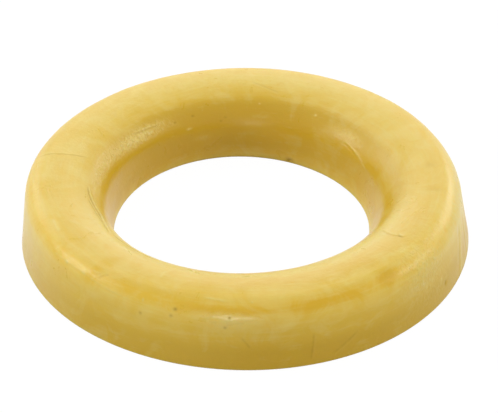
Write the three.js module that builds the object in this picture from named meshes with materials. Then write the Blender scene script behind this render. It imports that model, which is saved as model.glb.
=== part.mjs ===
// A plain wax toilet pan seal: one poured ring of soft yellow wax, lying on its flat base.
// The ring is turned about +Z. Its base is at z = 0 and its axis at x = y = 0. Millimetres.
//
// The section is a flat base, two drafted walls and a crown. The outer wall leans in and meets
// the crown at a tight shoulder. The bore wall leans out and meets it at a wide roll, which leads
// the pan's outlet into the bore. Every arc is tangent to its neighbours, all the way round.

import * as THREE from "three";

// Driving dimensions
const boreDiameter = 75; // narrowest width of the bore, just above the base
const sectionWidth = 27.5; // from there to the widest line of the outer wall
const height = 19.6; // base to the top of the crown
const crestInset = 9; // widest line of the outer wall in to the top of the crown
const crownRadius = 26;
const shoulderRadius = 6; // outer wall to crown
const rollRadius = 12; // bore wall to crown
const wallDraft = THREE.MathUtils.degToRad(6.5); // outer wall from upright
const boreDraft = THREE.MathUtils.degToRad(13); // bore wall from upright
const baseEdgeRadius = 0.5; // both edges of the base

// Fineness of the faceted surface
const facetsAround = 96;
const chordError = 0.035; // most that a flat facet stands off its arc of the section
const straightFacets = 2;

const boreLimit = boreDiameter / 2;
const wallLimit = boreLimit + sectionWidth;
const crownCentre = new THREE.Vector2(wallLimit - crestInset, height - crownRadius);
const ALONG_BASE = -Math.PI / 2;
const CREST = Math.PI / 2;

const unit = (angle) => new THREE.Vector2(Math.cos(angle), Math.sin(angle));
const angleOf = (vector) => Math.atan2(vector.y, vector.x);

// One side of the section, from the base up to the crown. limit is the radius that the side
// reaches, outward the direction its wall faces, and up the direction in which it rises.
function sideOfRing(limit, outward, up, blendRadius) {
  const edgeCentre = new THREE.Vector2(
    limit - Math.sign(unit(outward).x) * baseEdgeRadius,
    baseEdgeRadius,
  );
  const wallFoot = edgeCentre.clone().addScaledVector(unit(outward), baseEdgeRadius);
  return { edgeCentre, outward, blendCentre: blendCentre(wallFoot, outward, up, blendRadius) };
}

// Centre of the arc that is tangent to a straight wall and, from inside, to the crown's arc.
function blendCentre(wallFoot, outward, up, radius) {
  const start = wallFoot.clone().addScaledVector(unit(outward), -radius);
  const fromCrown = start.clone().sub(crownCentre);
  const along = fromCrown.dot(unit(up));
  const reach = crownRadius - radius;
  const rise = -along + Math.sqrt(along * along - fromCrown.lengthSq() + reach * reach);
  return start.addScaledVector(unit(up), rise);
}

// Points along an arc, both ends included. Every arc of the section turns anticlockwise.
function arcPoints(centre, radius, fromAngle, toAngle) {
  const turn = THREE.MathUtils.euclideanModulo(toAngle - fromAngle, 2 * Math.PI);
  const step = 2 * Math.acos(1 - Math.min(chordError / radius, 0.1));
  const arc = new THREE.EllipseCurve(
    centre.x, centre.y, radius, radius, fromAngle, fromAngle + turn, false,
  );
  return arc.getPoints(Math.ceil(turn / step));
}

// Points strictly between two ends of a straight stretch.
function pointsBetween(from, to) {
  const shares = Array.from({ length: straightFacets - 1 }, (_, i) => (i + 1) / straightFacets);
  return shares.map((share) => from.clone().lerp(to, share));
}

// The closed section, anticlockwise from the outer edge of the base.
function ringSection() {
  const wall = sideOfRing(wallLimit, wallDraft, Math.PI / 2 + wallDraft, shoulderRadius);
  const bore = sideOfRing(boreLimit, Math.PI - boreDraft, Math.PI / 2 - boreDraft, rollRadius);
  const shoulderEnd = angleOf(wall.blendCentre.clone().sub(crownCentre));
  const rollStart = angleOf(bore.blendCentre.clone().sub(crownCentre));

  const wallEdge = arcPoints(wall.edgeCentre, baseEdgeRadius, ALONG_BASE, wall.outward);
  const shoulder = arcPoints(wall.blendCentre, shoulderRadius, wall.outward, shoulderEnd);
  const crownOutside = arcPoints(crownCentre, crownRadius, shoulderEnd, CREST);
  const crownInside = arcPoints(crownCentre, crownRadius, CREST, rollStart);
  const roll = arcPoints(bore.blendCentre, rollRadius, rollStart, bore.outward);
  const boreEdge = arcPoints(bore.edgeCentre, baseEdgeRadius, bore.outward, ALONG_BASE);

  return [
    ...wallEdge,
    ...pointsBetween(wallEdge.at(-1), shoulder[0]),
    ...shoulder,
    ...crownOutside.slice(1),
    ...crownInside.slice(1, -1),
    ...roll,
    ...pointsBetween(roll.at(-1), boreEdge[0]),
    ...boreEdge,
    ...pointsBetween(boreEdge.at(-1), wallEdge[0]),
    wallEdge[0].clone(),
  ];
}

function waxRing() {
  const geometry = new THREE.LatheGeometry(ringSection(), facetsAround);
  geometry.rotateX(Math.PI / 2);
  const wax = new THREE.MeshStandardMaterial({
    color: 0xe3c068,
    roughness: 0.42,
    metalness: 0,
  });
  const ring = new THREE.Mesh(geometry, wax);
  ring.name = "wax_ring";
  return ring;
}

const panSeal = new THREE.Group();
panSeal.name = "toilet_pan_seal";
panSeal.add(waxRing());

export default panSeal;
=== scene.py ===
import math
from collections import namedtuple

import bmesh
import bpy
from bpy.props import FloatProperty, FloatVectorProperty, IntProperty, PointerProperty
import numpy as np
from mathutils import Matrix, Vector, noise


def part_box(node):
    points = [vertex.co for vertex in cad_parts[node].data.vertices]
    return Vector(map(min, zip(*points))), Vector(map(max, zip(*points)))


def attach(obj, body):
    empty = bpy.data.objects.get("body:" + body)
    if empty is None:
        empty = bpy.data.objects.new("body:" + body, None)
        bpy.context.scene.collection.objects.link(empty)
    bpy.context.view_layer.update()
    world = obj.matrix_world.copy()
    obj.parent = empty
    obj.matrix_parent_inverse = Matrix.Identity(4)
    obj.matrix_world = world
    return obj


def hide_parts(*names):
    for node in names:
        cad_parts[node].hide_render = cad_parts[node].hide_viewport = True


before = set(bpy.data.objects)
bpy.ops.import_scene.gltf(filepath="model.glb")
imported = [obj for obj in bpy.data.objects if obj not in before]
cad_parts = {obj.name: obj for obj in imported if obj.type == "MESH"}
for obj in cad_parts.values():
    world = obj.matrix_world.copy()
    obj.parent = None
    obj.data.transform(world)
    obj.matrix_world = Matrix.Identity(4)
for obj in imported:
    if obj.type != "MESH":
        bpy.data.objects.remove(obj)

bl_info = {
    "name": "Wax pan seal",
    "version": (1, 0, 0),
    "blender": (4, 5, 0),
    "location": "3D View > Sidebar > Pan seal",
    "description": "Models a poured wax seal for a toilet pan, with the marks of handling",
    "category": "Object",
}

NODE = "wax_ring"
PIECE = "poured_wax_ring"
MM = 0.001
CAD_LOW, CAD_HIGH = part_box(NODE)
BORE_REACH = 37.5  # radius of the bore, in millimetres
LIP_PLACE = 1.7  # middle of a scratch's lip, in widths from its groove
EDGE_CALM = 0.0015  # height over which marks and ripple fade out towards the base

# A place on the ring is (turn, rise). turn is in degrees round the axis, 0 at the side nearest
# the camera and positive to its right. rise is in millimetres along the section, from the outer
# edge of the base, up the wall, over the crown and down the bore.
WALL_TOP_RISE = 14.0
BORE_TOP_RISE = 44.0
BASE_RISE = -30.0  # given to the base, so that no mark falls on it

# The four rims of the section. None came out of the mould quite round. Each rim has a shift of
# its centre, an ovalness along and across, and a three-lobed swell, all in millimetres.
Rim = namedtuple("Rim", "shift oval lobes")
WALL_FOOT = Rim(shift=(0.6, -0.5), oval=(-0.4, -0.2), lobes=(-0.4, 0.1))
WALL_TOP = Rim(shift=(0.0, 0.5), oval=(-1.3, -1.1), lobes=(-0.4, 0.1))
BORE_FOOT = Rim(shift=(-1.3, 1.5), oval=(-0.4, 0.0), lobes=(0.4, -0.3))
BORE_TOP = Rim(shift=(0.9, -0.3), oval=(-0.4, 0.0), lobes=(0.4, -0.3))

# A scratch runs from start to end in a bow, width across. Its groove is depth deep, with a lip
# of pushed-up wax beside it. ink says how dark its groove looks, and pale how light its lip.
# Lengths are in millimetres.
Scratch = namedtuple("Scratch", "start end width depth lip bow ink pale")
SCRATCHES = {
    "crease over the left roll":
        Scratch((-87, 35.4), (-69, 37.8), 0.28, 0.20, 0.30, -0.3, 0.24, 1.3),
    "crease's tail towards the near side":
        Scratch((-71, 37.7), (-56, 35.4), 0.30, 0.20, 0.24, 0.3, 0.30, 1.0),
    "hairline beside the crease":
        Scratch((-79, 35.2), (-64, 36.6), 0.26, 0.08, 0.10, 0.3, 0.35, 0.6),
    "crease on the far left crown":
        Scratch((-101.8, 20.0), (-104.6, 32.6), 0.32, 0.06, 0.07, -0.2, 0.16, 0.5),
    "groove on the far left roll":
        Scratch((-131.5, 38.1), (-143.5, 39.2), 0.30, 0.08, 0.06, -0.3, 0.22, 0.4),
    "fold on the right crown":
        Scratch((54.5, 35.0), (52.6, 27.0), 0.34, 0.10, 0.12, -1.1, 0.12, 0.5),
    "nick in the fold":
        Scratch((53.0, 28.9), (52.4, 26.8), 0.34, 0.08, 0.12, -0.2, 0.22, 0.9),
    "scratch down the right of the bore":
        Scratch((131.5, 42.6), (114.0, 45.6), 0.32, 0.04, 0.08, 0.2, 0.0, 0.5),
    "upright scratch on the near wall":
        Scratch((15.9, 9.8), (15.0, 2.4), 0.30, 0.04, 0.03, 0.1, 0.18, 0.1),
    "slanting scratch on the near wall":
        Scratch((26.6, 7.2), (20.8, 3.0), 0.34, 0.04, 0.03, 0.1, 0.15, 0.1),
    "short scratch on the near wall":
        Scratch((-1.1, 10.4), (0.9, 7.4), 0.34, 0.04, 0.03, 0.1, 0.17, 0.1),
    "short scratch on the near crown":
        Scratch((-24.5, 29.4), (-24.5, 25.6), 0.34, 0.03, 0.06, -0.4, 0.0, 0.7),
    "line along the near left roll":
        Scratch((-54, 36.0), (-31, 35.0), 0.30, 0.05, 0.00, 0.3, 0.45, 0.0),
    # The ridge's pale lip lays a painted highlight along it, over the real raised lip.
    "ridge on the near left shoulder":
        Scratch((-57.5, 16.3), (-43.0, 16.6), 0.26, 0.00, 0.02, 0.2, 0.0, 0.5),
    # Its pale lip is a painted highlight too.
    "ridge's end":
        Scratch((-43.0, 16.5), (-29.0, 15.5), 0.26, 0.00, 0.02, -0.1, 0.0, 0.5),
    "comma over the ridge":
        Scratch((-40.0, 17.6), (-37.4, 19.9), 0.36, 0.04, 0.04, 0.3, 0.15, 0.4),
    "second comma over the ridge":
        Scratch((-42.5, 18.6), (-39.5, 19.4), 0.36, 0.04, 0.04, -0.4, 0.12, 0.4),
    "smear on the left crown":
        Scratch((-68.0, 21.3), (-62.0, 20.8), 0.55, 0.02, 0.10, 0.1, 0.0, 1.0),
    "swirl over the left crown":
        Scratch((-65.0, 24.5), (-52.0, 29.0), 0.80, 0.00, 0.03, 1.2, 0.0, 0.5),
    "smear on the near crown":
        Scratch((-10.0, 20.6), (-5.0, 20.1), 0.34, 0.02, 0.06, 0.1, 0.0, 0.9),
    # The trough's pale lip lays a painted highlight on the wax beside it.
    "trough down the right wall":
        Scratch((71.8, 14.5), (67.0, 2.0), 1.10, 0.12, 0.06, 0.5, 0.0, 0.7),
    # Its pale lip lays a painted highlight as well.
    "second trough down the right wall":
        Scratch((79.0, 15.0), (76.0, 2.0), 1.20, 0.10, 0.05, -0.6, 0.0, 0.6),
    "scratch across the far crown":
        Scratch((167.0, 33.0), (176.0, 29.6), 0.32, 0.03, 0.03, 0.2, 0.15, 0.3),
}

# A spot is a round or long blot, size (along the ring, along the section) in millimetres. lift
# is its height, and ink, pale and gold are how far it darkens, lightens or turns the wax golden;
# on the spots named painted below they lay painted shade, sheen and highlights into the colour.
# grain is how scuffed it is, and is negative where it is rubbed smooth.
Spot = namedtuple("Spot", "place size lift ink pale gold grain")
SPOTS = {
    # Painted sheen: its pale lays a side lamp's highlight on the roll; its grain is real scuffing.
    "scuffed patch with painted sheen on the far left roll":
        Spot((-132.5, 39.8), (8.5, 1.9), 0.0, 0.0, 1.0, 0.0, 1.2),
    # Painted sheen along the left roll, over real scuffing.
    "scuffed left roll with painted sheen":
        Spot((-108.0, 38.6), (17.0, 2.0), 0.0, 0.0, 0.40, 0.0, 0.6),
    # Painted sheen: a side lamp's highlight laid into the colour.
    "painted sheen on the far right roll":
        Spot((131.0, 39.8), (5.0, 1.5), 0.0, 0.0, 0.60, 0.0, 0.3),
    # Painted reflection: the far crown lightened where it meets the bright surround at a grazing
    # angle.
    "painted sheen on the far crown":
        Spot((172.0, 27.8), (50.0, 3.2), 0.0, 0.0, 0.75, 0.0, 0.0),
    # Painted sheen where the near roll turns away from the camera.
    "painted sheen on the near roll":
        Spot((0.0, 33.0), (30.0, 1.8), 0.0, 0.0, 1.0, 0.0, 0.0),
    # Painted sheen where the roll turns away from the camera.
    "painted sheen on the near left roll":
        Spot((-46.0, 36.4), (18.0, 4.2), 0.0, 0.0, 1.8, 0.0, 0.0),
    # Painted sheen where the roll turns away from the camera.
    "painted sheen on the near right roll":
        Spot((46.0, 35.4), (18.0, 2.8), 0.0, 0.0, 1.9, 0.0, 0.0),
    # Takes back part of the crown's painted sheen on the side nearest the camera.
    "gold against the painted sheen on the near crown":
        Spot((8.0, 28.4), (58.0, 3.8), 0.0, 0.0, 0.0, 0.75, 0.0),
    # Painted sheen where the right side turns away at a grazing angle.
    "painted sheen on the right shoulder":
        Spot((86.0, 16.5), (24.0, 4.0), 0.0, 0.0, 1.5, 0.0, 0.0),
    "golden foot of the right wall":
        Spot((90.0, 5.5), (20.0, 4.0), 0.0, 0.0, 0.0, 0.5, 0.0),
    "golden far shoulder":
        Spot((180.0, 17.4), (60.0, 2.0), 0.0, 0.0, 0.0, 0.9, 0.0),
    # Painted shade: the bore wall deepened to gold where it reflects little light.
    "painted shade in the left bore":
        Spot((-105.0, 48.5), (34.0, 7.5), 0.0, 0.0, 0.0, 0.9, 0.0),
    # Painted sheen where the left wall turns away at a grazing angle.
    "painted sheen on the left wall":
        Spot((-88.0, 11.0), (28.0, 8.0), 0.0, 0.0, 0.65, 0.0, 0.0),
    # Painted shade: the foot of the near wall darkened and deepened to gold.
    "painted shade at the foot of the near wall":
        Spot((14.0, 4.0), (48.0, 7.0), 0.0, 0.08, 0.0, 0.60, 0.0),
    # Painted shade: the far bore wall deepened to gold where it is shaded.
    "painted shade in the far bore":
        Spot((-165.0, 44.0), (36.0, 9.0), 0.0, 0.0, 0.0, 0.55, 0.0),
    "clear patch on the near right shoulder":
        Spot((37.5, 19.1), (2.6, 1.8), 0.0, 0.12, 0.0, 2.2, 0.0),
    # Painted shade: a deeper golden band where the shoulder's gloss reflects nothing bright.
    "painted shade band on the near right shoulder":
        Spot((20.5, 18.4), (10.0, 1.5), 0.0, 0.0, 0.0, 0.95, 0.0),
    # Painted shade: a deeper golden band where the shoulder's gloss reflects nothing bright.
    "painted shade band on the near shoulder":
        Spot((-2.0, 18.0), (15.0, 1.1), 0.0, 0.0, 0.0, 0.8, 0.0),
    "scuffed patch on the right wall":
        Spot((50.0, 14.5), (9.0, 7.0), 0.0, 0.0, 0.50, 0.0, 0.55),
    "smudge on the right crown":
        Spot((93.0, 26.4), (1.6, 1.6), 0.0, 0.12, 0.0, 0.3, 0.0),
    "second smudge on the right crown":
        Spot((79.5, 25.9), (1.3, 2.6), 0.0, 0.10, 0.0, 0.3, 0.0),
    "speck in the far bore":
        Spot((-157.0, 43.7), (0.7, 0.35), 0.08, 0.0, 1.0, 0.0, 0.0),
    "smear in the far bore":
        Spot((-162.7, 47.5), (2.4, 0.8), 0.03, 0.0, 0.35, 0.0, 0.3),
    "fleck on the right wall":
        Spot((42.5, 20.6), (0.5, 0.35), 0.05, 0.0, 0.8, 0.0, 0.0),
    "second fleck on the right wall":
        Spot((45.0, 18.2), (0.7, 0.4), 0.05, 0.0, 0.7, 0.0, 0.0),
    "third fleck on the right wall":
        Spot((47.5, 17.2), (0.5, 0.7), 0.05, 0.0, 0.7, 0.0, 0.0),
    "fourth fleck on the right wall":
        Spot((54.0, 15.6), (0.4, 0.8), 0.05, 0.0, 0.6, 0.0, 0.0),
    "fifth fleck on the right wall":
        Spot((48.5, 11.0), (0.4, 0.9), 0.05, 0.0, 0.6, 0.0, 0.0),
    "speck over the ridge":
        Spot((-52.0, 17.0), (0.9, 0.5), 0.08, 0.0, 0.9, 0.0, 0.0),
    "second speck over the ridge":
        Spot((-45.0, 17.3), (0.8, 0.5), 0.08, 0.0, 0.9, 0.0, 0.0),
    "speck on the far right roll":
        Spot((149.5, 38.2), (0.35, 0.35), 0.10, 0.0, 1.0, 0.0, 0.0),
    "speck on the far roll":
        Spot((173.2, 37.6), (0.3, 0.25), 0.05, 0.0, 0.7, 0.0, 0.0),
    "speck on the near shoulder":
        Spot((1.8, 20.5), (0.35, 0.35), 0.10, 0.0, 1.0, 0.0, 0.0),
    "speck on the near right crown":
        Spot((16.2, 20.9), (0.4, 0.25), 0.05, 0.0, 0.7, 0.0, 0.0),
    "speck on the near left shoulder":
        Spot((-25.7, 17.1), (0.3, 0.5), 0.10, 0.0, 0.9, 0.0, 0.0),
    "chip on the right wall":
        Spot((56.2, 7.6), (0.5, 0.6), 0.10, 0.0, 1.0, 0.0, 0.0),
    "pit under the chip":
        Spot((58.2, 4.9), (0.54, 0.72), -0.15, 0.43, 0.0, 0.0, 0.0),
    "pit in the far roll":
        Spot((-159.5, 39.9), (0.42, 0.36), -0.12, 0.50, 0.0, 0.0, 0.0),
    "second pit in the far roll":
        Spot((-151.3, 40.5), (0.36, 0.30), -0.10, 0.37, 0.0, 0.0, 0.0),
    "pit in the far bore":
        Spot((-173.0, 41.8), (0.36, 0.30), -0.10, 0.37, 0.0, 0.0, 0.0),
    "second pit in the far bore":
        Spot((-171.0, 42.9), (0.36, 0.30), -0.10, 0.37, 0.0, 0.0, 0.0),
    "pit on the left wall":
        Spot((-26.2, 13.1), (0.42, 0.48), -0.12, 0.43, 0.0, 0.0, 0.0),
    "pit on the near left shoulder":
        Spot((-17.0, 16.7), (0.60, 0.48), -0.15, 0.50, 0.0, 0.0, 0.0),
    "second pit on the near left shoulder":
        Spot((-18.0, 14.6), (0.48, 0.48), -0.12, 0.37, 0.0, 0.0, 0.0),
    # Its grain smooths the wax; its pale lays a painted highlight on the front lamp's shine.
    "rubbed smooth with painted shine on the near shoulder":
        Spot((-3.5, 16.0), (9.0, 1.8), 0.0, 0.0, 0.35, 0.0, -1.3),
    # Painted glow: a pale haze laid below the front lamp's highlight.
    "painted glow under the shine":
        Spot((-3.5, 14.0), (7.0, 2.2), 0.0, 0.0, 0.60, 0.0, 0.0),
    "pit in the shine":
        Spot((-3.7, 16.2), (0.36, 0.36), -0.12, 0.50, 0.0, 0.0, 0.0),
    "pit below the shine":
        Spot((-4.8, 13.2), (0.48, 0.48), -0.10, 0.31, 0.0, 0.0, 0.0),
    # Painted shade in the corner where the bore meets the floor.
    "painted shade at the foot of the far bore":
        Spot((172.0, 55.6), (22.0, 0.6), 0.0, 0.45, 0.0, 0.0, 0.0),
    "nick at the foot of the bore":
        Spot((158.5, 54.6), (1.08, 0.72), -0.30, 0.62, 0.0, 0.0, 0.0),
}


# The waves that cooling left: height as a share of the ripple, how many to a metre, and an
# offset that sets each apart from the others.
Wave = namedtuple("Wave", "height per_metre offset")
WAVES = (
    Wave(1.0, 45.0, (0.0, 0.0, 0.0)),
    Wave(0.5, 110.0, (7.0, 3.0, 1.0)),
    Wave(0.3, 320.0, (2.0, 9.0, 4.0)),
)

# How the wax looks along the section: at a rise, how cloudy it is, how clear and golden, and
# how light. The lightness is painted light and shade: darker at the foot of the wall, on the roll
# and in the bore, lighter under the shoulder. The gold on the walls, roll and bore is painted
# shade, and the cloud is partly bloom and partly painted sheen on the crown and at the foot of the
# bore.
Layer = namedtuple("Layer", "rise cloud gold light")
LAYERS_AND_PAINTED_LIGHT = {
    "foot of the wall": Layer(0.0, 0.0, 0.60, 0.92),
    "low wall": Layer(5.0, 0.0, 0.38, 0.925),
    "mid wall": Layer(11.0, 0.20, 0.05, 1.02),
    "under the shoulder": Layer(15.0, 0.32, 0.05, 1.10),
    "shoulder": Layer(18.3, 0.14, 0.30, 1.10),
    "outer crown": Layer(21.5, 0.35, 0.0, 1.02),
    "crest": Layer(25.0, 0.34, 0.0, 0.99),
    "inner crown": Layer(31.0, 0.42, 0.0, 1.0),
    "top of the roll": Layer(34.0, 0.36, 0.05, 0.98),
    "roll": Layer(38.0, 0.04, 0.40, 0.885),
    "top of the bore": Layer(43.0, 0.0, 0.62, 0.90),
    "bore": Layer(50.0, 0.0, 0.50, 0.95),
    "foot of the bore": Layer(55.8, 0.40, 0.0, 1.08),
}
SECTION_LENGTH = 55.8
# The lightest painted light on the ramp; the ramp's blue is stored as a share of this.
BRIGHTEST_PAINTED_LIGHT = 1.2


# Lamps stand round the ring. Bearing is the angle from the near side, positive to the right,
# and both angles are in radians.
Lamp = namedtuple("Lamp", "bearing elevation distance width tall")
LAMPS = {
    "left": Lamp(math.radians(-93), math.radians(23), 1.0, 0.25, 0.25),
    "right": Lamp(math.radians(93), math.radians(23), 1.0, 0.25, 0.25),
    "behind": Lamp(math.radians(180), math.radians(24), 1.0, 0.5, 0.4),
    "behind_left": Lamp(math.radians(-135), math.radians(24), 1.0, 0.5, 0.4),
    "behind_right": Lamp(math.radians(135), math.radians(24), 1.0, 0.5, 0.4),
    "high_left": Lamp(math.radians(-135), math.radians(52), 1.0, 0.5, 0.4),
    "window": Lamp(math.radians(-11), math.radians(8), 0.82, 0.24, 0.035),
}


class RingSizes(bpy.types.PropertyGroup):
    """Sizes of the turned section, before the ring's unevenness."""

    outer_width: FloatProperty(
        name="Outer width", description="Widest width of the ring, just above its base",
        default=CAD_HIGH.x - CAD_LOW.x, min=0.05, unit="LENGTH",
    )
    bore_width: FloatProperty(
        name="Bore width", description="Narrowest width of the bore, just above the base",
        default=2 * BORE_REACH * MM, min=0.02, unit="LENGTH",
    )
    height: FloatProperty(
        name="Height", description="Base to the top of the crown",
        default=CAD_HIGH.z, min=0.005, unit="LENGTH",
    )
    crest_inset: FloatProperty(
        name="Crest inset", description="Outer wall in to the highest line of the crown",
        default=0.009, unit="LENGTH",
    )
    crown_radius: FloatProperty(
        name="Crown radius", description="Radius of the crown across the section",
        default=0.026, unit="LENGTH",
    )
    shoulder_radius: FloatProperty(
        name="Shoulder radius", description="Radius between the outer wall and the crown",
        default=0.006, unit="LENGTH",
    )
    roll_radius: FloatProperty(
        name="Roll radius", description="Radius between the crown and the bore wall",
        default=0.012, unit="LENGTH",
    )
    wall_draft: FloatProperty(
        name="Wall draft", description="Lean of the outer wall from upright",
        default=math.radians(6.5), subtype="ANGLE",
    )
    bore_draft: FloatProperty(
        name="Bore draft", description="Lean of the bore wall from upright",
        default=math.radians(13.0), subtype="ANGLE",
    )
    base_edge_radius: FloatProperty(
        name="Base edge radius", description="Radius of both edges of the base",
        default=0.0005, unit="LENGTH",
    )
    facet: FloatProperty(
        name="Facet", description="Length of one facet along the section",
        default=0.00046, min=0.0002, unit="LENGTH",
    )
    facets_around: IntProperty(
        name="Facets around", description="Facets in one turn about the axis",
        default=480, min=48,
    )


class HandMarks(bpy.types.PropertyGroup):
    """How uneven the ring is, and how deep its marks are."""

    unevenness: FloatProperty(
        name="Unevenness", description="How far the ring is out of the round: 0 is true",
        default=1.0, min=0.0, max=2.0, subtype="FACTOR",
    )
    mark_depth: FloatProperty(
        name="Mark depth", description="Depth of every scratch and pit: 0 is none",
        default=1.0, min=0.0, max=2.0, subtype="FACTOR",
    )
    ripple: FloatProperty(
        name="Ripple", description="Height of the soft waves that cooling left",
        default=0.00010, min=0.0, unit="LENGTH",
    )


class WaxFinish(bpy.types.PropertyGroup):
    """Colours of the wax, which also lay its painted shade and sheen."""

    body: FloatVectorProperty(
        name="Body", description="Main colour of the wax",
        default=(0.815, 0.552, 0.053), size=3, min=0.0, max=1.0, subtype="COLOR",
    )
    # The cloud colour also lays painted sheen and highlights, from the ramp and the spots.
    cloud: FloatVectorProperty(
        name="Cloud", description="Paler wax, where it is scuffed or cooled cloudy",
        default=(0.87, 0.675, 0.185), size=3, min=0.0, max=1.0, subtype="COLOR",
    )
    # The gold colour also lays painted shade on the walls, the roll and the bore.
    gold: FloatVectorProperty(
        name="Gold", description="Clearer wax, which looks more golden",
        default=(0.77, 0.48, 0.016), size=3, min=0.0, max=1.0, subtype="COLOR",
    )
    # The soil colour darkens the scratches and pits, and lays painted shade at the foot of the
    # near wall and of the far bore.
    soil_and_shade: FloatVectorProperty(
        name="Soil", description="What has settled in the scratches and pits",
        default=(0.30, 0.14, 0.005), size=3, min=0.0, max=1.0, subtype="COLOR",
    )


class StageSetup(bpy.types.PropertyGroup):
    """Camera and lamps."""

    elevation: FloatProperty(
        name="Elevation", description="Height of the camera above the floor, seen from the aim",
        default=math.radians(33.68), subtype="ANGLE",
    )
    roll: FloatProperty(
        name="Roll", description="Turn of the camera about its own line of sight",
        default=math.radians(-1.04), subtype="ANGLE",
    )
    distance: FloatProperty(
        name="Distance", description="Camera to aim", default=0.6135, unit="LENGTH",
    )
    aim: FloatVectorProperty(
        name="Aim", description="Point on the floor that the camera looks at",
        default=(0.0015, 0.0124, 0.0), size=3, subtype="TRANSLATION",
    )
    lens: FloatProperty(
        name="Lens", description="Focal length in millimetres", default=150.0, min=10.0,
    )
    left: FloatProperty(
        name="Left", description="Power of the small lamp at the left, in watts", default=1.75,
    )
    right: FloatProperty(
        name="Right", description="Power of the small lamp at the right, in watts", default=1.7,
    )
    behind: FloatProperty(
        name="Behind", description="Power of the low lamp behind, in watts", default=0.74,
    )
    behind_left: FloatProperty(
        name="Behind left", description="Power of the low lamp behind left, in watts",
        default=1.07,
    )
    behind_right: FloatProperty(
        name="Behind right", description="Power of the low lamp behind right, in watts",
        default=1.9,
    )
    high_left: FloatProperty(
        name="High left", description="Power of the high lamp behind left, in watts",
        default=1.03,
    )
    window: FloatProperty(
        name="Window", description="Power of the low lamp in front, in watts", default=0.62,
    )
    surround: FloatProperty(
        name="Surround", description="Strength of the plain light from all round", default=0.567,
    )


def settings(context):
    scene = context.scene
    return scene.seal_sizes, scene.seal_marks, scene.seal_wax, scene.seal_stage


def unit(angle):
    """Unit vector in the plane of the section, pointing away from the axis at 0."""
    return Vector((math.cos(angle), 0.0, math.sin(angle)))


def tangent_blend(foot, outward, up, radius, crown, crown_radius):
    """Centre of the arc that touches a straight wall and, from inside, the crown's arc."""
    start = foot - radius * unit(outward)
    from_crown = start - crown
    along = from_crown.dot(unit(up))
    reach = crown_radius - radius
    rise = -along + math.sqrt(along * along - from_crown.length_squared + reach * reach)
    return start + rise * unit(up)


def draw_arc(section, tip, centre, angle, facet):
    """Carries the open end of the section round an arc, and returns the new end."""
    steps = max(3, math.ceil(abs(angle) * (tip.co - centre).length / facet))
    made = bmesh.ops.spin(
        section, geom=[tip], cent=centre, axis=(0, -1, 0), angle=angle, steps=steps,
    )
    return next(part for part in made["geom_last"] if isinstance(part, bmesh.types.BMVert))


def draw_line(section, tip, end):
    """Carries the open end of the section straight to a point, and returns the new end."""
    new_tip = bmesh.ops.extrude_vert_indiv(section, verts=[tip])["verts"][0]
    bmesh.ops.translate(section, verts=[new_tip], vec=end - tip.co)
    return new_tip


def cut_evenly(section, edges, facet):
    """Cuts straight edges into facets no longer than asked."""
    longest = max(edge.calc_length() for edge in edges)
    bmesh.ops.subdivide_edges(section, edges=edges, cuts=math.ceil(longest / facet) - 1)


def cut_straights(section, facet):
    """Cuts the base into coarse facets, and then both walls into fine ones."""
    base = max(section.edges, key=bmesh.types.BMEdge.calc_length)
    cut_evenly(section, [base], 6 * facet)
    walls = [edge for edge in section.edges if edge.calc_length() > 10 * facet]
    cut_evenly(section, walls, facet)


def draw_section(section, sizes):
    """Draws the closed section in the XZ plane, from the outer edge of the base, and returns
    its first vertex and the edge that closes it along the base."""
    edge = sizes.base_edge_radius
    facet = sizes.facet
    wall_limit = sizes.outer_width / 2
    bore_limit = sizes.bore_width / 2
    crown = Vector((wall_limit - sizes.crest_inset, 0.0, sizes.height - sizes.crown_radius))
    wall_out = sizes.wall_draft
    bore_out = math.pi - sizes.bore_draft
    wall_edge = Vector((wall_limit - edge, 0.0, edge))
    bore_edge = Vector((bore_limit + edge, 0.0, edge))
    shoulder = tangent_blend(
        wall_edge + edge * unit(wall_out), wall_out, math.pi / 2 + sizes.wall_draft,
        sizes.shoulder_radius, crown, sizes.crown_radius,
    )
    roll = tangent_blend(
        bore_edge + edge * unit(bore_out), bore_out, math.pi / 2 - sizes.bore_draft,
        sizes.roll_radius, crown, sizes.crown_radius,
    )
    shoulder_end = math.atan2(shoulder.z - crown.z, shoulder.x - crown.x)
    roll_start = math.atan2(roll.z - crown.z, roll.x - crown.x)

    first = section.verts.new(wall_edge - Vector((0.0, 0.0, edge)))
    tip = draw_arc(section, first, wall_edge, wall_out + math.pi / 2, edge / 3)
    tip = draw_line(section, tip, shoulder + sizes.shoulder_radius * unit(wall_out))
    tip = draw_arc(section, tip, shoulder, shoulder_end - wall_out, facet)
    tip = draw_arc(section, tip, crown, roll_start - shoulder_end, facet)
    tip = draw_arc(section, tip, roll, bore_out - roll_start, facet)
    tip = draw_line(section, tip, bore_edge + edge * unit(bore_out))
    tip = draw_arc(section, tip, bore_edge, 1.5 * math.pi - bore_out, edge / 3)
    return first, section.edges.new((tip, first))


def measure_rise(section, first, closing_edge, rise_layer):
    """Writes each vertex's distance along the section, in millimetres, from the first vertex."""
    here, came_by, rise = first, closing_edge, 0.0
    while True:
        here[rise_layer] = rise / MM
        ahead = next(edge for edge in here.link_edges if edge is not came_by)
        if ahead is closing_edge:
            return
        rise += ahead.calc_length()
        here, came_by = ahead.other_vert(here), ahead


def turn_of(place):
    """Angle round the axis from the near side, positive to the right."""
    return math.atan2(place.x, -place.y)


def rim_swell(rim, angle):
    """How far a rim stands out of the round at an angle from +X, in metres."""
    swell = 0.0
    for order, (along, across) in enumerate((rim.shift, rim.oval, rim.lobes), start=1):
        swell += along * math.cos(order * angle) + across * math.sin(order * angle)
    return swell * MM


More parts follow.
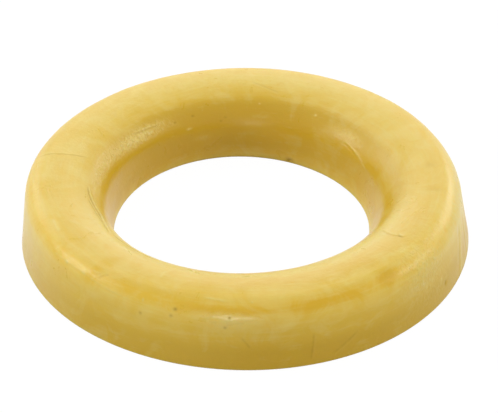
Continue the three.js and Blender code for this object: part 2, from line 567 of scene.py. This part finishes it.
def out_of_round(place, sizes, marks):
    """Moves a place on the true ring to where the uneven ring has it."""
    angle = math.atan2(place.y, place.x)
    radius = math.hypot(place.x, place.y)
    width = (sizes.outer_width - sizes.bore_width) / 2
    outer = min(max((radius - sizes.bore_width / 2) / width, 0.0), 1.0)
    top = min(max(place.z / sizes.height, 0.0), 1.0)
    wall = (1 - top) * rim_swell(WALL_FOOT, angle) + top * rim_swell(WALL_TOP, angle)
    bore = (1 - top) * rim_swell(BORE_FOOT, angle) + top * rim_swell(BORE_TOP, angle)
    grown = 1 + marks.unevenness * (outer * wall + (1 - outer) * bore) / radius
    return Vector((place.x * grown, place.y * grown, place.z))


def soft_step(low, high, value):
    share = np.clip((value - low) / (high - low), 0.0, 1.0)
    return share * share * (3 - 2 * share)


def reach_at(rise):
    """Radius from the axis at a rise, in millimetres, near enough to size a mark."""
    wall = CAD_HIGH.x / MM
    share = soft_step(WALL_TOP_RISE, BORE_TOP_RISE, rise)
    return wall + (BORE_REACH - wall) * share


def scratch_rulers(scratch):
    """Two rulers that read a surface place (turn in radians, rise in millimetres, 1).

    The first gives how far along the scratch the place is, 0 to 1. The second gives how far
    to the side of its straight line, in widths."""
    reach = reach_at((scratch.start[1] + scratch.end[1]) / 2)
    start = Vector((math.radians(scratch.start[0]) * reach, scratch.start[1]))
    end = Vector((math.radians(scratch.end[0]) * reach, scratch.end[1]))
    run = (end - start) / (end - start).length_squared
    side = Vector((start.y - end.y, end.x - start.x)).normalized() / scratch.width
    along = Vector((run.x * reach, run.y, -run.dot(start)))
    across = Vector((side.x * reach, side.y, -side.dot(start)))
    return along, across


def scratch_lift(scratch, surface):
    """Height of a scratch at surface places, in millimetres. Its groove is negative."""
    along, across = scratch_rulers(scratch)
    share = surface @ along
    side = surface @ across - scratch.bow / scratch.width * 4 * share * (1 - share)
    ends = soft_step(-0.1, 0.15, share) * (1 - soft_step(0.85, 1.1, share))
    groove = np.exp(-side ** 2)
    lip = np.exp(-(side - LIP_PLACE) ** 2)
    return ends * (scratch.lip * lip - scratch.depth * groove)


def spot_rulers(spot):
    """Two rulers that read how far a surface place is from a spot, along and across, in sizes."""
    reach = reach_at(spot.place[1])
    middle = math.radians(spot.place[0])
    along = Vector((reach, 0.0, -middle * reach)) / spot.size[0]
    across = Vector((0.0, 1.0, -spot.place[1])) / spot.size[1]
    return along, across


def spot_lift(spot, surface):
    """Height of a spot at surface places, in millimetres. A pit is negative."""
    along, across = spot_rulers(spot)
    return spot.lift * np.exp(-(surface @ along) ** 2 - (surface @ across) ** 2)


def spots_all_round():
    """Every spot, and again a full turn away each one that reaches over the far side."""
    spots = []
    for spot in SPOTS.values():
        turn, rise = spot.place
        half_width = math.degrees(3 * spot.size[0] / reach_at(rise))
        spots.append(spot)
        if abs(turn) + half_width > 180:
            spots.append(spot._replace(place=(turn - math.copysign(360, turn), rise)))
    return spots


def ripple_at(place):
    """Soft waves over the whole ring and finer lumps on them, from about -1 to 1."""
    return sum(
        wave.height * noise.noise(place * wave.per_metre + Vector(wave.offset))
        for wave in WAVES
    )


def press_marks(ring, rise_layer, sizes, marks):
    """Moves each vertex to the uneven ring, and then in or out by the ripple and the marks."""
    surface = np.array([(turn_of(vert.co), vert[rise_layer], 1.0) for vert in ring.verts])
    lifts = np.zeros(len(surface))
    for scratch in SCRATCHES.values():
        lifts += scratch_lift(scratch, surface)
    for spot in spots_all_round():
        lifts += spot_lift(spot, surface)
    for vert, lift in zip(ring.verts, lifts * marks.mark_depth * MM):
        height = lift + marks.ripple * ripple_at(vert.co)
        height *= soft_step(0.0, EDGE_CALM, vert.co.z)
        vert.co = out_of_round(vert.co, sizes, marks) + vert.normal * height


class SEAL_OT_ring(bpy.types.Operator):
    """Turn the section into the ring, and press in its unevenness and marks."""

    bl_idname = "seal.ring"
    bl_label = "Make the wax ring"

    def execute(self, context):
        sizes, marks, _, _ = settings(context)
        ring = bmesh.new()
        rise_layer = ring.verts.layers.float.new("rise")
        first, closing_edge = draw_section(ring, sizes)
        measure_rise(ring, first, closing_edge, rise_layer)
        cut_straights(ring, sizes.facet)
        bmesh.ops.spin(
            ring, geom=ring.verts[:] + ring.edges[:], cent=(0, 0, 0), axis=(0, 0, 1),
            angle=2 * math.pi, steps=sizes.facets_around, use_merge=True,
        )
        bmesh.ops.recalc_face_normals(ring, faces=ring.faces)
        ring.normal_update()
        press_marks(ring, rise_layer, sizes, marks)
        mesh = bpy.data.meshes.new(PIECE)
        ring.to_mesh(mesh)
        ring.free()
        mesh.shade_smooth()
        piece = bpy.data.objects.new(PIECE, mesh)
        context.scene.collection.objects.link(piece)
        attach(piece, "root")
        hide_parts(NODE)
        return {"FINISHED"}


class Wiring:
    """Adds nodes to a tree and joins them. Every method returns a socket to read from."""

    def __init__(self, tree):
        self.tree = tree

    def add(self, kind, inputs=(), **settings_of_node):
        node = self.tree.nodes.new(kind)
        for name, value in settings_of_node.items():
            setattr(node, name, value)
        for key, value in dict(inputs).items():
            if isinstance(value, bpy.types.NodeSocket):
                self.tree.links.new(value, node.inputs[key])
            else:
                node.inputs[key].default_value = value
        return node

    def math(self, operation, *values, clamp=False):
        pairs = enumerate(values)
        node = self.add("ShaderNodeMath", pairs, operation=operation, use_clamp=clamp)
        return node.outputs[0]

    def square(self, value):
        return self.math("MULTIPLY", value, value)

    def bell(self, squared):
        """1 at no distance, falling off smoothly with the square of the distance."""
        return self.math("EXPONENT", self.math("MULTIPLY", squared, -1.0))

    def swing(self, value, height):
        """A noise of 0 to 1 as a height to both sides of nought."""
        return self.math("MULTIPLY", self.math("SUBTRACT", value, 0.5), height)

    def vector(self, operation, *values):
        node = self.add("ShaderNodeVectorMath", enumerate(values), operation=operation)
        return node.outputs["Value" if operation == "DOT_PRODUCT" else "Vector"]

    def scaled(self, vector, factor):
        return self.add(
            "ShaderNodeVectorMath", {0: vector, "Scale": factor}, operation="SCALE",
        ).outputs["Vector"]

    def mix(self, share, low, high):
        node = self.add("ShaderNodeMix", {0: share, 6: low, 7: high}, data_type="RGBA")
        return node.outputs[2]

    def remap(self, value, low, high, to_low=0.0, to_high=1.0):
        inputs = {"Value": value, 1: low, 2: high, 3: to_low, 4: to_high}
        return self.add(
            "ShaderNodeMapRange", inputs, interpolation_type="SMOOTHSTEP",
        ).outputs["Result"]

    def noise(self, place, scale, detail=2.0, roughness=0.5, distortion=0.0):
        inputs = {
            "Vector": place, "Scale": scale, "Detail": detail,
            "Roughness": roughness, "Distortion": distortion,
        }
        return self.add("ShaderNodeTexNoise", inputs).outputs[0]


def new_group(name, inputs, outputs):
    """A node group with the named sockets, its wiring, and its two ends."""
    group = bpy.data.node_groups.new(name, "ShaderNodeTree")
    for socket_name, kind in inputs:
        group.interface.new_socket(socket_name, in_out="INPUT", socket_type=kind)
    for socket_name, kind in outputs:
        group.interface.new_socket(socket_name, in_out="OUTPUT", socket_type=kind)
    wires = Wiring(group)
    return group, wires, wires.add("NodeGroupInput").outputs, wires.add("NodeGroupOutput").inputs


def scratch_group():
    """Node group that gives a scratch's groove and lip, 0 to 1, at a surface place."""
    group, wires, given, results = new_group(
        "Scratch",
        [("Surface", "NodeSocketVector"), ("Along", "NodeSocketVector"),
         ("Across", "NodeSocketVector"), ("Bow", "NodeSocketFloat")],
        [("Groove", "NodeSocketFloat"), ("Lip", "NodeSocketFloat")],
    )
    share = wires.vector("DOT_PRODUCT", given["Surface"], given["Along"])
    straight = wires.vector("DOT_PRODUCT", given["Surface"], given["Across"])
    left_to_go = wires.math("SUBTRACT", 1.0, share)
    sag = wires.math("MULTIPLY", wires.math("MULTIPLY", share, left_to_go), given["Bow"])
    across = wires.math("SUBTRACT", straight, sag)
    opening = wires.remap(share, -0.1, 0.15)
    closing = wires.remap(share, 0.85, 1.1, 1.0, 0.0)
    ends = wires.math("MULTIPLY", opening, closing)
    for name, middle in (("Groove", 0.0), ("Lip", LIP_PLACE)):
        off = wires.math("SUBTRACT", across, middle)
        group.links.new(wires.math("MULTIPLY", wires.bell(wires.square(off)), ends), results[name])
    return group


def spot_group():
    """Node group that gives a spot's strength, 0 to 1, at a surface place."""
    group, wires, given, results = new_group(
        "Spot",
        [("Surface", "NodeSocketVector"), ("Along", "NodeSocketVector"),
         ("Across", "NodeSocketVector")],
        [("Spot", "NodeSocketFloat")],
    )
    along = wires.vector("DOT_PRODUCT", given["Surface"], given["Along"])
    across = wires.vector("DOT_PRODUCT", given["Surface"], given["Across"])
    away = wires.math("ADD", wires.square(along), wires.square(across))
    group.links.new(wires.bell(away), results["Spot"])
    return group


def weigh(wires, strengths, weights):
    """Sum of strengths, each times its weight. Those that weigh nothing are left out."""
    total = 0.0
    for strength, weight in zip(strengths, weights):
        if weight:
            total = wires.math("MULTIPLY_ADD", strength, weight, total)
    return total


def surface_place(wires):
    """(turn in radians, rise in millimetres, 1) where the shader stands."""
    place = wires.add("ShaderNodeTexCoord").outputs["Object"]
    parts = wires.add("ShaderNodeSeparateXYZ", {0: place}).outputs
    turn = wires.math("ARCTAN2", parts["X"], wires.math("MULTIPLY", parts["Y"], -1.0))
    rise = wires.add("ShaderNodeAttribute", attribute_name="rise").outputs["Fac"]
    on_base = wires.math("LESS_THAN", parts["Z"], 0.001 * MM)
    rise = wires.add("ShaderNodeMix", {0: on_base, 2: rise, 3: BASE_RISE}).outputs[0]
    surface = wires.add("ShaderNodeCombineXYZ", {"X": turn, "Y": rise, "Z": 1.0}).outputs[0]
    return place, parts, rise, surface


def streak_place(wires, parts, rise):
    """A place for noise that is drawn out along the ring, without a seam."""
    flat = wires.add("ShaderNodeCombineXYZ", {"X": parts["X"], "Y": parts["Y"]}).outputs[0]
    around = wires.scaled(wires.add(
        "ShaderNodeVectorMath", {0: flat}, operation="NORMALIZE",
    ).outputs["Vector"], 5.0)
    down = wires.add("ShaderNodeCombineXYZ", {"Z": wires.math("MULTIPLY", rise, 0.9)}).outputs[0]
    return wires.vector("ADD", around, down)


def layers_and_painted_light_along(wires, rise):
    """Cloudiness with painted sheen, clearness with painted shade, and painted light and shade at
    a rise, as red, green and blue of a ramp.
    """
    share = wires.math("DIVIDE", rise, SECTION_LENGTH, clamp=True)
    node = wires.add("ShaderNodeValToRGB", {"Fac": share})
    ramp = node.color_ramp
    ramp.interpolation = "EASE"
    for layer in LAYERS_AND_PAINTED_LIGHT.values():
        place = layer.rise / SECTION_LENGTH
        stop = ramp.elements[-1] if place >= 1 else ramp.elements.new(place)
        stop.color = (layer.cloud, layer.gold, layer.light / BRIGHTEST_PAINTED_LIGHT, 1)
    ramp.elements.remove(ramp.elements[0])
    return wires.add("ShaderNodeSeparateColor", {0: node.outputs["Color"]}).outputs


def wax_material(wax, marks):
    """Soft yellow wax: cloudy and golden by turns, finely grained, marked by hands, with painted
    light, shade and sheen laid into its colour.
    """
    material = bpy.data.materials.new("soft_yellow_wax")
    material.use_nodes = True
    tree = material.node_tree
    tree.nodes.clear()
    wires = Wiring(tree)
    place, parts, rise, surface = surface_place(wires)

    scratch_list, spot_list = list(SCRATCHES.values()), spots_all_round()
    grooves, lips, spots = [], [], []
    scratch_tree, spot_tree = scratch_group(), spot_group()
    for scratch in scratch_list:
        along, across = scratch_rulers(scratch)
        made = wires.add("ShaderNodeGroup", node_tree=scratch_tree)
        tree.links.new(surface, made.inputs["Surface"])
        made.inputs["Along"].default_value = along
        made.inputs["Across"].default_value = across
        made.inputs["Bow"].default_value = 4 * scratch.bow / scratch.width
        grooves.append(made.outputs["Groove"])
        lips.append(made.outputs["Lip"])
    for spot in spot_list:
        along, across = spot_rulers(spot)
        made = wires.add("ShaderNodeGroup", node_tree=spot_tree)
        tree.links.new(surface, made.inputs["Surface"])
        made.inputs["Along"].default_value = along
        made.inputs["Across"].default_value = across
        spots.append(made.outputs["Spot"])

    ink = wires.math(
        "ADD",
        weigh(wires, grooves, [scratch.ink for scratch in scratch_list]),
        weigh(wires, spots, [spot.ink for spot in spot_list]),
    )
    pale = wires.math(
        "ADD",
        weigh(wires, lips, [scratch.pale for scratch in scratch_list]),
        weigh(wires, spots, [spot.pale for spot in spot_list]),
    )
    gold = weigh(wires, spots, [spot.gold for spot in spot_list])
    rubbed = weigh(wires, spots, [spot.grain for spot in spot_list])
    scuff = wires.math("MAXIMUM", rubbed, 0.0)

    broad = wires.noise(place, 34.0, detail=2.0)
    cloudy = wires.noise(place, 120.0, detail=4.0, roughness=0.6, distortion=1.2)
    fine = wires.noise(place, 900.0, detail=3.0, roughness=0.6)
    grain = wires.noise(place, 2600.0, detail=2.0)
    streaks = wires.noise(streak_place(wires, parts, rise), 1.0, detail=4.0, roughness=0.65)

    layer = layers_and_painted_light_along(wires, rise)
    # The ramp's gold is painted shade on the walls, roll and bore, and its cloud is partly bloom
    # and partly painted sheen on the crown; the noise over them is the wax's own mottling.
    clear = wires.math("ADD", layer["Green"], wires.remap(broad, 0.35, 0.70, -0.12, 0.22))
    haze_and_sheen = wires.math("ADD", layer["Red"], wires.remap(cloudy, 0.35, 0.72, -0.17, 0.36))
    haze_and_sheen = wires.math("ADD", haze_and_sheen, wires.remap(streaks, 0.40, 0.80, -0.08, 0.25))
    haze_and_sheen = wires.math("MULTIPLY_ADD", gold, -0.25, haze_and_sheen)
    gold = wires.math("ADD", gold, clear, clamp=True)
    haze_and_sheen = wires.math("ADD", haze_and_sheen, 0.0, clamp=True)
    colour = wires.mix(gold, (*wax.body, 1), (*wax.gold, 1))
    colour = wires.mix(haze_and_sheen, colour, (*wax.cloud, 1))
    # Painted light and shade: the ramp's blue makes the colour lighter or darker along the
    # section.
    colour = wires.scaled(colour, wires.math("MULTIPLY", layer["Blue"], BRIGHTEST_PAINTED_LIGHT))
    speckle = wires.remap(wires.noise(place, 1100.0, detail=2.0), 0.46, 0.62)
    broken = wires.remap(fine, 0.30, 0.60, 0.45, 1.0)
    flecks = wires.math("MULTIPLY", scuff, speckle)
    # Painted glints: pale flecks laid into the scuffed patches, which the bump below also
    # roughens.
    glints = wires.math("MULTIPLY", flecks, 0.55)
    pale = wires.math("ADD", pale, glints)
    pale = wires.math("SUBTRACT", pale, wires.math("MULTIPLY", scuff, 0.12))
    # pale lays painted sheen and highlights as well as paler wax, and ink lays painted shade as
    # well as darker marks.
    pale_and_sheen_share = wires.math("MULTIPLY", pale, broken, clamp=True)
    ink_and_shade_share = wires.math("MULTIPLY", ink, broken, clamp=True)
    colour = wires.mix(pale_and_sheen_share, colour, (*wax.cloud, 1))
    colour = wires.mix(ink_and_shade_share, colour, (*wax.soil_and_shade, 1))

    depth = [-scratch.depth * marks.mark_depth for scratch in scratch_list]
    lip = [scratch.lip * marks.mark_depth for scratch in scratch_list]
    lift = [spot.lift * marks.mark_depth for spot in spot_list]
    marked = wires.math("ADD", weigh(wires, grooves, depth), weigh(wires, lips, lip))
    marked = wires.math("ADD", marked, weigh(wires, spots, lift))
    marked = wires.math("MULTIPLY", marked, 0.4)
    skin = wires.math("ADD", wires.swing(fine, 0.07), wires.swing(grain, 0.015))
    skin = wires.math("ADD", skin, wires.swing(streaks, 0.04))
    scuffed = wires.math("MULTIPLY", flecks, 0.16)
    height = wires.math("ADD", wires.math("ADD", marked, skin), scuffed)
    bump = wires.add("ShaderNodeBump", {"Height": height, "Strength": 1.0, "Distance": MM})

    satin = wires.remap(cloudy, 0.3, 0.7, 0.27, 0.38)
    satin = wires.math("ADD", satin, wires.math("MULTIPLY", rubbed, 0.10))
    satin = wires.math("ADD", satin, wires.math("MULTIPLY", ink, 0.8))
    shader = wires.add("ShaderNodeBsdfPrincipled", {
        "Base Color": colour,
        "Roughness": satin,
        "IOR": 1.5,
        "Specular Tint": (0.97, 1.0, 0.84, 1),
        "Subsurface Weight": 0.5,
        "Subsurface Radius": (1.0, 0.75, 0.25),
        "Subsurface Scale": 0.003,
        "Normal": bump.outputs["Normal"],
    })
    wires.add("ShaderNodeOutputMaterial", {"Surface": shader.outputs["BSDF"]})
    return material


class SEAL_OT_wax(bpy.types.Operator):
    """Give the ring its wax."""

    bl_idname = "seal.wax"
    bl_label = "Give the ring its wax"

    def execute(self, context):
        _, marks, wax, _ = settings(context)
        piece = bpy.data.objects.get(PIECE)
        if piece is None:
            raise RuntimeError("the ring has to be made before its wax")
        piece.data.materials.append(wax_material(wax, marks))
        return {"FINISHED"}


def seen_directly(wires):
    """1 for what the camera sees itself or in a gloss or through glass, and 0 for other light."""
    path = wires.add("ShaderNodeLightPath").outputs
    seen = wires.math("MAXIMUM", path["Is Camera Ray"], path["Is Glossy Ray"])
    return wires.math("MAXIMUM", seen, path["Is Transmission Ray"])


def floor_material():
    """Plain floor that looks white and keeps a faint shadow of the ring."""
    material = bpy.data.materials.new("white_floor")
    material.use_nodes = True
    tree = material.node_tree
    tree.nodes.clear()
    wires = Wiring(tree)
    lit = wires.add("ShaderNodeBsdfDiffuse", {"Color": (0.50, 0.50, 0.50, 1)}).outputs[0]
    white = wires.add("ShaderNodeEmission", {"Color": (1, 1, 1, 1), "Strength": 1.08}).outputs[0]
    share = wires.math("MULTIPLY", seen_directly(wires), 0.90)
    mixed = wires.add("ShaderNodeMixShader", {0: share, 1: lit, 2: white}).outputs[0]
    wires.add("ShaderNodeOutputMaterial", {"Surface": mixed})
    return material


def white_world(strength):
    """Plain light from all round, seen as white."""
    world = bpy.data.worlds.new("white_surround")
    world.use_nodes = True
    tree = world.node_tree
    tree.nodes.clear()
    wires = Wiring(tree)
    level = wires.add("ShaderNodeMapRange", {0: seen_directly(wires), 3: strength, 4: 1.0})
    light = wires.add(
        "ShaderNodeBackground", {"Color": (1, 1, 1, 1), "Strength": level.outputs[0]},
    )
    wires.add("ShaderNodeOutputWorld", {"Surface": light.outputs[0]})
    return world


def hang_lamp(scene, name, lamp, power):
    """A soft rectangular lamp that faces the ring."""
    level = math.cos(lamp.elevation) * lamp.distance
    place = Vector((
        level * math.sin(lamp.bearing),
        -level * math.cos(lamp.bearing),
        math.sin(lamp.elevation) * lamp.distance,
    ))
    light = bpy.data.lights.new(name, "AREA")
    light.shape = "RECTANGLE"
    light.size = lamp.width
    light.size_y = lamp.tall
    light.energy = power
    holder = bpy.data.objects.new(name, light)
    facing = (-place).to_track_quat("-Z", "Y").to_matrix().to_4x4()
    holder.matrix_world = Matrix.Translation(place) @ facing
    scene.collection.objects.link(holder)


def place_camera(scene, stage):
    """The camera of the photograph: it looks at the aim from the near side, slightly rolled."""
    back = Vector((0.0, -math.cos(stage.elevation), math.sin(stage.elevation)))
    across = Vector((1.0, 0.0, 0.0))
    upright = back.cross(across)
    rolled = math.cos(stage.roll) * across + math.sin(stage.roll) * upright
    axes = Matrix((rolled, back.cross(rolled), back)).transposed()
    data = bpy.data.cameras.new("camera")
    data.lens = stage.lens
    data.sensor_width = 36.0
    camera = bpy.data.objects.new("camera", data)
    place = Vector(stage.aim) + stage.distance * back
    camera.matrix_world = Matrix.Translation(place) @ axes.to_4x4()
    scene.collection.objects.link(camera)
    scene.camera = camera


class SEAL_OT_stage(bpy.types.Operator):
    """Lay the floor, hang the lamps and place the camera."""

    bl_idname = "seal.stage"
    bl_label = "Set the stage"

    def execute(self, context):
        scene = context.scene
        stage = settings(context)[3]
        sheet = bmesh.new()
        bmesh.ops.create_grid(sheet, x_segments=1, y_segments=1, size=3.0)
        mesh = bpy.data.meshes.new("floor")
        sheet.to_mesh(mesh)
        sheet.free()
        mesh.materials.append(floor_material())
        floor = bpy.data.objects.new("floor", mesh)
        scene.collection.objects.link(floor)
        scene.world = white_world(stage.surround)
        for name, lamp in LAMPS.items():
            hang_lamp(scene, name, lamp, getattr(stage, name))
        place_camera(scene, stage)
        scene.view_settings.view_transform = "Standard"
        return {"FINISHED"}


class SEAL_PT_panel(bpy.types.Panel):
    """Sizes, finish and stage of the seal, with a button for each step."""

    bl_idname = "SEAL_PT_panel"
    bl_label = "Pan seal"
    bl_space_type = "VIEW_3D"
    bl_region_type = "UI"
    bl_category = "Pan seal"

    def draw(self, context):
        steps = (SEAL_OT_ring, SEAL_OT_wax, SEAL_OT_stage)
        for group in settings(context):
            box = self.layout.box()
            for name in group.__annotations__:
                box.prop(group, name)
        for step in steps:
            self.layout.operator(step.bl_idname)


GROUPS = {
    "seal_sizes": RingSizes,
    "seal_marks": HandMarks,
    "seal_wax": WaxFinish,
    "seal_stage": StageSetup,
}
CLASSES = (*GROUPS.values(), SEAL_OT_ring, SEAL_OT_wax, SEAL_OT_stage, SEAL_PT_panel)


def register():
    for part in CLASSES:
        bpy.utils.register_class(part)
    for name, group in GROUPS.items():
        setattr(bpy.types.Scene, name, PointerProperty(type=group))


def unregister():
    for name in GROUPS:
        delattr(bpy.types.Scene, name)
    for part in reversed(CLASSES):
        bpy.utils.unregister_class(part)


def main():
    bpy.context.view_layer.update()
    register()
    bpy.ops.seal.ring()
    bpy.ops.seal.wax()
    bpy.ops.seal.stage()


if __name__ == "__main__":
    main()
